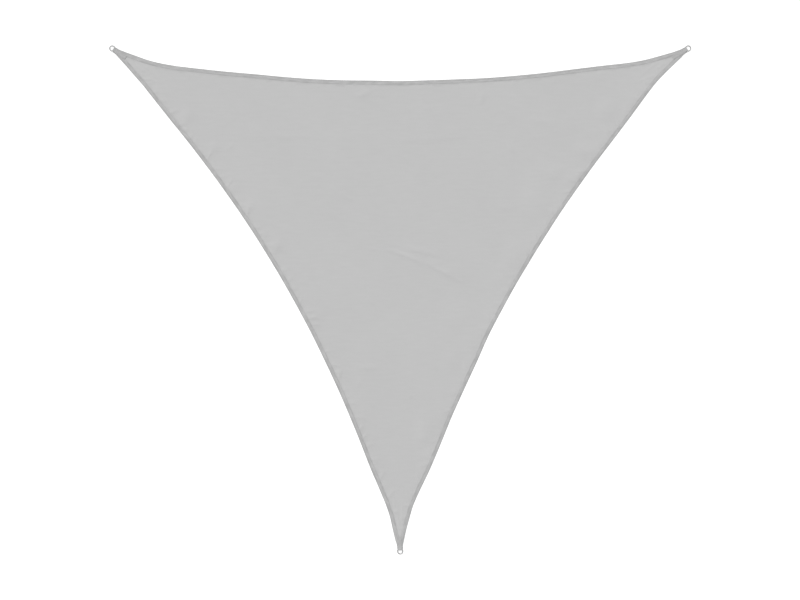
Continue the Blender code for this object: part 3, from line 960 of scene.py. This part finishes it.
def insetLoop(runs, outline, inset):
    # the outline moved in, without the stretches that would come nearer than that to another edge
    pieces = []
    for (points, normals), (_, before) in zip(runs, runs[-1:] + runs[:-1]):
        half = (normals[0] + before[-1]) / 2
        pieces.append(points[:1] + half / (half @ half) * inset)  # the mitre at the run's first corner
        pieces.append(points[1:-1] + normals[1:-1] * inset)
    moved = np.concatenate(pieces)
    distance, _ = fromEdge(moved, outline)
    return moved[distance > inset - 0.004 * mm]  # a little less, for what rounding takes


def gatherRows(runs):
    # short creases that start at the hem and lean one way or the other, as rows of the creases' table
    made = []
    chance = random.Random(gathers["seed"])
    longRuns = [run for run in runs if len(run[0]) > sailCut["manyPoints"]]
    for edge, (points, normals) in zip(("left", "right", "top"), longRuns):
        lengths = lengthsAlong(points) / mm
        at = gathers["fromTip"]
        while at < lengths[-1] - gathers["fromTip"]:
            k = int(np.searchsorted(lengths, at))
            hem = math.degrees(math.atan2(-normals[k][0], normals[k][1]))
            lean = chance.uniform(*gathers["slant"]) * chance.choice((1, 1, -1))
            heading = math.radians(hem + (lean if lean > 0 else 180 + lean))
            half = chance.uniform(*gathers["length"]) / 2
            onward = np.array([math.cos(heading), math.sin(heading)])
            x, y = points[k] / mm + normals[k] * gathers["start"] + gathers["reach"] * half * onward
            width = chance.uniform(*gathers["width"])
            height = chance.uniform(*gathers["height"][edge])
            steep = gathers["steepSide"] * width
            made.append((x, y, math.degrees(heading), 2 * half, width, steep, 0.0, height))
            at += chance.uniform(*gathers["spacing"][edge])
    return made


def creaseRows(runs):
    # every crease as centre, heading, half length, the two widths, bow and height, in metres
    rows = []
    for x, y, heading, *sizes in creases + gatherRows(runs):
        rows.append((np.array([x, y]) * mm, math.radians(heading), sizes))
    for corner, back, across, turn, length, width, height in tensionFolds:
        matrix = corners[corner]["matrix"]
        centre = matrix @ Vector((-back * mm, across * mm, 0.0))
        heading = matrix.to_euler().z + math.radians(turn)
        rows.append((np.array(centre[:2]), heading, (length, width, width, 0.0, height)))
    return [
        (centre, heading, length * mm / 2, left * mm, right * mm, bow * mm, height * mm)
        for centre, heading, (length, left, right, bow, height) in rows
    ]


def creaseLines(rows):
    # points on and beside each crease, which carry its shape
    made = []
    for centre, heading, half, left, right, bow, _ in rows:
        onward = np.array([math.cos(heading), math.sin(heading)])
        sideways = np.array([-onward[1], onward[0]])
        count = max(sailCut["creaseLeast"], round(2 * half / sailCut["creaseSpacing"]))
        for a in np.linspace(-1.0, 1.0, count):
            bent = bow * (1 - a * a)
            for share in creaseShares:
                across = bent + share * (left if share > 0 else right)
                made.append(centre + onward * a * half + sideways * across)
    return np.array(made)


def creaseHeight(points, rows):
    total = np.zeros(len(points))
    for centre, heading, half, left, right, bow, height in rows:
        away = points - centre
        a = (away[:, 0] * math.cos(heading) + away[:, 1] * math.sin(heading)) / half
        b = away[:, 1] * math.cos(heading) - away[:, 0] * math.sin(heading) - bow * (1 - a * a)
        s = np.minimum(np.hypot(b / np.where(b > 0, left, right), crestRound), 1.0)
        crest = (1 - s) ** 2 * (1 + 2 * s)
        fade = np.cos(np.clip(a, -1, 1) * math.pi / 2) ** 1.5
        total += np.where(np.abs(a) < 1, height * crest * fade, 0.0)
    return total


def rippleHeight(inset, along):
    slanted = along + unevenness["rippleSlant"] * inset
    ripple = 0.0
    for k, pitch in enumerate(unevenness["ripplePitches"]):
        drift = unevenness["rippleDrift"] * np.sin(along / pitch / unevenness["rippleDriftLength"])
        ripple = ripple + np.sin(2 * math.pi * slanted / pitch + unevenness["ripplePhase"] * k + drift)
    peak, reach = unevenness["ripplePeak"], unevenness["rippleReach"]
    rise = np.clip(inset / peak, 0, 1)
    fall = np.clip((reach - inset) / (reach - peak), 0, 1)
    strength = rise**2 * (3 - 2 * rise) * fall**2 * (3 - 2 * fall)
    return unevenness["rippleHeight"] * strength * (ripple / len(unevenness["ripplePitches"]) + 1) / 2


def slowWaves(points):
    size = unevenness["waveLength"]
    values = [noise.noise(Vector((x / size, y / size, unevenness["waveSlice"]))) for x, y in points]
    return unevenness["waveHeight"] * (np.array(values) + 1) / 2


def nearStraps(points):
    # one beside a strap, falling to none a little way off
    most = np.zeros(len(points))
    for corner in corners.values():
        back = corner["matrix"].inverted()
        local = np.array([(back @ Vector((x, y, 0.0)))[:2] for x, y in points])
        across = np.abs(local[:, 1]) - strapSizes["width"] / 2 - sailCut["strapClearance"]
        behind = -local[:, 0] - corner["tail"] - sailCut["strapClearance"]
        out = np.hypot(np.maximum(across, 0), np.maximum(behind, 0))
        most = np.maximum(most, eased(1 - out / sailCut["strapFade"]))
    return most


def smoothed(heights, triangles, hold):
    # each height drawn towards the mean of its neighbours', except where hold is one
    sides = np.concatenate([triangles[:, :2], triangles[:, 1:], triangles[:, ::2]])
    edges = np.unique(np.sort(sides, axis=1), axis=0)
    count = np.bincount(edges.ravel(), minlength=len(heights))
    for _ in range(sailCut["smoothing"]):
        total = np.bincount(edges[:, 0], heights[edges[:, 1]], len(heights))
        total += np.bincount(edges[:, 1], heights[edges[:, 0]], len(heights))
        mean = total / np.maximum(count, 1)
        heights = heights + (mean - heights) * sailCut["smoothingShare"] * (1 - hold)
    return heights


def isInside(point, loop):
    x, y = point
    ax, ay = loop[:, 0], loop[:, 1]
    bx, by = np.roll(ax, -1), np.roll(ay, -1)
    spans = (ay > y) != (by > y)
    cross = ax[spans] + (y - ay[spans]) * (bx[spans] - ax[spans]) / (by[spans] - ay[spans])
    return np.count_nonzero(cross > x) % 2 == 1


def apartFrom(points, taken, gap):
    # which points keep that gap from every taken one, found by squares of the gap's size
    squares = {}
    for x, y in taken:
        squares.setdefault((int(x // gap), int(y // gap)), []).append((x, y))
    free = np.ones(len(points), bool)
    for k, (x, y) in enumerate(points):
        column, row = int(x // gap), int(y // gap)
        near = [p for i in (-1, 0, 1) for j in (-1, 0, 1) for p in squares.get((column + i, row + j), ())]
        free[k] = all((x - a) ** 2 + (y - b) ** 2 > gap * gap for a, b in near)
    return free


def creasePoints(rows, innerLoop):
    # the creases' points that lie in the panel and keep apart from each other
    points = creaseLines(rows)
    points = points[[isInside(point, innerLoop) for point in points]]
    points = points[apartFrom(points, innerLoop, sailCut["hemGap"])]
    kept = []
    for point in points:
        if apartFrom([point], kept[-sailCut["creaseBefore"]:], sailCut["creaseGap"])[0]:
            kept.append(tuple(point))
    return np.array(kept)


def panelPoints(outline, taken):
    # a staggered grid over the panel, clear of the hem and of the creases' own points
    spacing = sailCut["panelSpacing"]
    gap = sailCut["panelGap"] * spacing
    low, high = outline.min(axis=0), outline.max(axis=0)
    rows = np.arange(low[1], high[1], spacing * math.sqrt(3) / 2)
    columns = np.arange(low[0], high[0], spacing)
    grid = np.array([(x + spacing / 2 * (k % 2), y) for k, y in enumerate(rows) for x in columns])
    grid = grid[[isInside(point, outline) for point in grid]]
    distance, _ = fromEdge(grid, outline)
    grid = grid[distance > hemSection[-1][0] * mm + gap]
    return grid[apartFrom(grid, taken, gap)]


def sailPlan():
    # the cloth seen from above: its outline, the loops of points along the hem, every crease, and
    # the points with the triangles between them
    places, faces, loop = undersideOf("sail_cloth")
    runs = [respaced(run) for run in runsBetweenCorners(np.array([places[k][:2] for k in loop]))]
    outline = np.concatenate([points[:-1] for points, _ in runs])
    loops = [outline] + [insetLoop(runs, outline, row[0] * mm) for row in hemSection[1:]]
    rows = creaseRows(runs)
    onCreases = creasePoints(rows, loops[-1])
    points = np.concatenate([*loops, onCreases, panelPoints(outline, onCreases)])
    links = []
    start = 0
    for ring in loops:
        links += [(start + k, start + (k + 1) % len(ring)) for k in range(len(ring))]
        start += len(ring)
    flat = [Vector((float(x), float(y))) for x, y in points]
    verts, _, triangles, *_ = geometry.delaunay_2d_cdt(flat, links, [], 0, sailCut["mergeGap"], False)
    return {
        "points": np.array([tuple(v) for v in verts]),
        "triangles": np.array(triangles),
        "outline": outline,
        "loops": loops,
        "creases": rows,
        "folds": BVHTree.FromPolygons([tuple(p) for p in places], faces),
    }


def clothBase(plan, triangles, inset, along):
    # the solid's folds, rounded, then the creases, gathers and waves on top of them
    points = plan["points"]
    high = sailCut["readFrom"]
    solid = np.array([plan["folds"].find_nearest((x, y, high))[0].z for x, y in points])
    hold = nearStraps(points)
    loose = creaseHeight(points, plan["creases"]) + rippleHeight(inset, along)
    loose += slowWaves(points) * eased(inset / unevenness["waveStart"])
    return np.maximum(smoothed(solid, triangles, hold), 0.0) + loose * (1 - hold)


def makeSailCloth(material):
    plan = sailPlan()
    points = plan["points"]
    inset, along = fromEdge(points, plan["outline"])
    onEdge = inset < sailCut["onEdge"]
    # those with all three points on the edge lie outside it, or would have no thickness
    triangles = plan["triangles"][~onEdge[plan["triangles"]].all(axis=1)]
    base = clothBase(plan, triangles, inset, along)
    section = np.array(hemSection) * mm
    under = base + np.interp(inset, section[:, 0], section[:, 1])
    over = base + np.interp(inset, section[:, 0], section[:, 2])
    over[onEdge] = under[onEdge]

    # both sides share the points on the edge
    upper = np.arange(len(points))
    lower = np.where(onEdge, upper, len(points) + np.cumsum(~onEdge) - 1)
    topSide = np.column_stack([points, over])
    underSide = np.column_stack([points, under])[~onEdge]
    verts = np.concatenate([topSide, underSide]).tolist()
    faces = np.concatenate([triangles, lower[triangles][:, ::-1]]).tolist()
    mesh = bpy.data.meshes.new("sailCloth")
    mesh.from_pydata(verts, [], faces)
    mesh.shade_smooth()
    mesh.materials.append(material)

    # what the finish follows: how much of a point is hem, its distance from the edge and along it
    hemShare = np.clip((sailCut["hemColourStart"] - inset) / sailCut["hemColourFade"], 0, 1)
    for name, values in (("hemShare", hemShare), ("edgeInset", inset), ("alongEdge", along)):
        layer = mesh.attributes.new(name, "FLOAT", "POINT")
        layer.data.foreach_set("value", np.concatenate([values, values[~onEdge]]).astype(np.float32))
    cloth = inScene("sailCloth", mesh)
    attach(cloth, "root")
    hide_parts("sail_cloth")
    print("sailCloth:", len(faces), "triangles")
    return cloth, {
        "loops": dict(zip([row[0] for row in hemSection], plan["loops"])),
        "tree": BVHTree.FromPolygons(verts, faces),
    }


hemSewing = {
    "rows": (4.0, 22.0),  # distances from the edge in the hem's section
    "pitch": 6.0 * mm,
    "stitchLength": 5.0 * mm,
    "threadRadius": 0.42 * mm,
    "lift": 0.02 * mm,
    "lean": 0.05,
    "seed": 11,
    "probe": 50 * mm,  # how far above or below the ground a line towards the cloth starts
    "strapSide": 1 * mm,  # the rows stop this far from a strap's side and from its end
    "strapEnd": 2 * mm,
    "strapFront": 5 * mm,
}


def underStrap(x, y):
    for corner in corners.values():
        spot = corner["matrix"].inverted() @ Vector((x, y, 0.0))
        beside = abs(spot.y) < strapSizes["width"] / 2 + hemSewing["strapSide"]
        if beside and -corner["tail"] - hemSewing["strapEnd"] < spot.x < hemSewing["strapFront"]:
            return True
    return False


def makeHemSewing(surface, tree, thread):
    # both rows on both faces, each where a line straight up or down meets the cloth
    paths = {"Top": [], "Under": []}
    for row in hemSewing["rows"]:
        loop = surface["loops"][row]
        for side, way in (("Top", -1.0), ("Under", 1.0)):
            path = []
            for x, y in list(loop) + [loop[0]]:
                start = (x, y, -way * hemSewing["probe"])
                hit = surface["tree"].ray_cast(start, (0.0, 0.0, way))[0]
                if hit is None or underStrap(x, y):
                    paths[side].append(path)
                    path = []
                else:
                    path.append((x, y, hit.z + way * hemSewing["lift"]))
            paths[side].append(path)
    return [
        sewn("hemSewing" + side, [path for path in paths[side] if len(path) > 1], hemSewing, tree, thread)
        for side in ("Top", "Under")
    ]


thread = bondedThread()
webbing = wovenWebbing()
steel = tumbledStainlessSteel()
stitches = stitchTree()
wire = wireTree()
cloth, surface = makeSailCloth(knittedShadeCloth())
trimmings = makeHemSewing(surface, stitches, thread)
for name in cornerNames:
    trimmings.append(makeStrap(name, webbing))
    trimmings.append(makeStrapSewing(name, stitches, thread))
    makeRing(name, wire, steel)
print("all pieces ride on the sail")
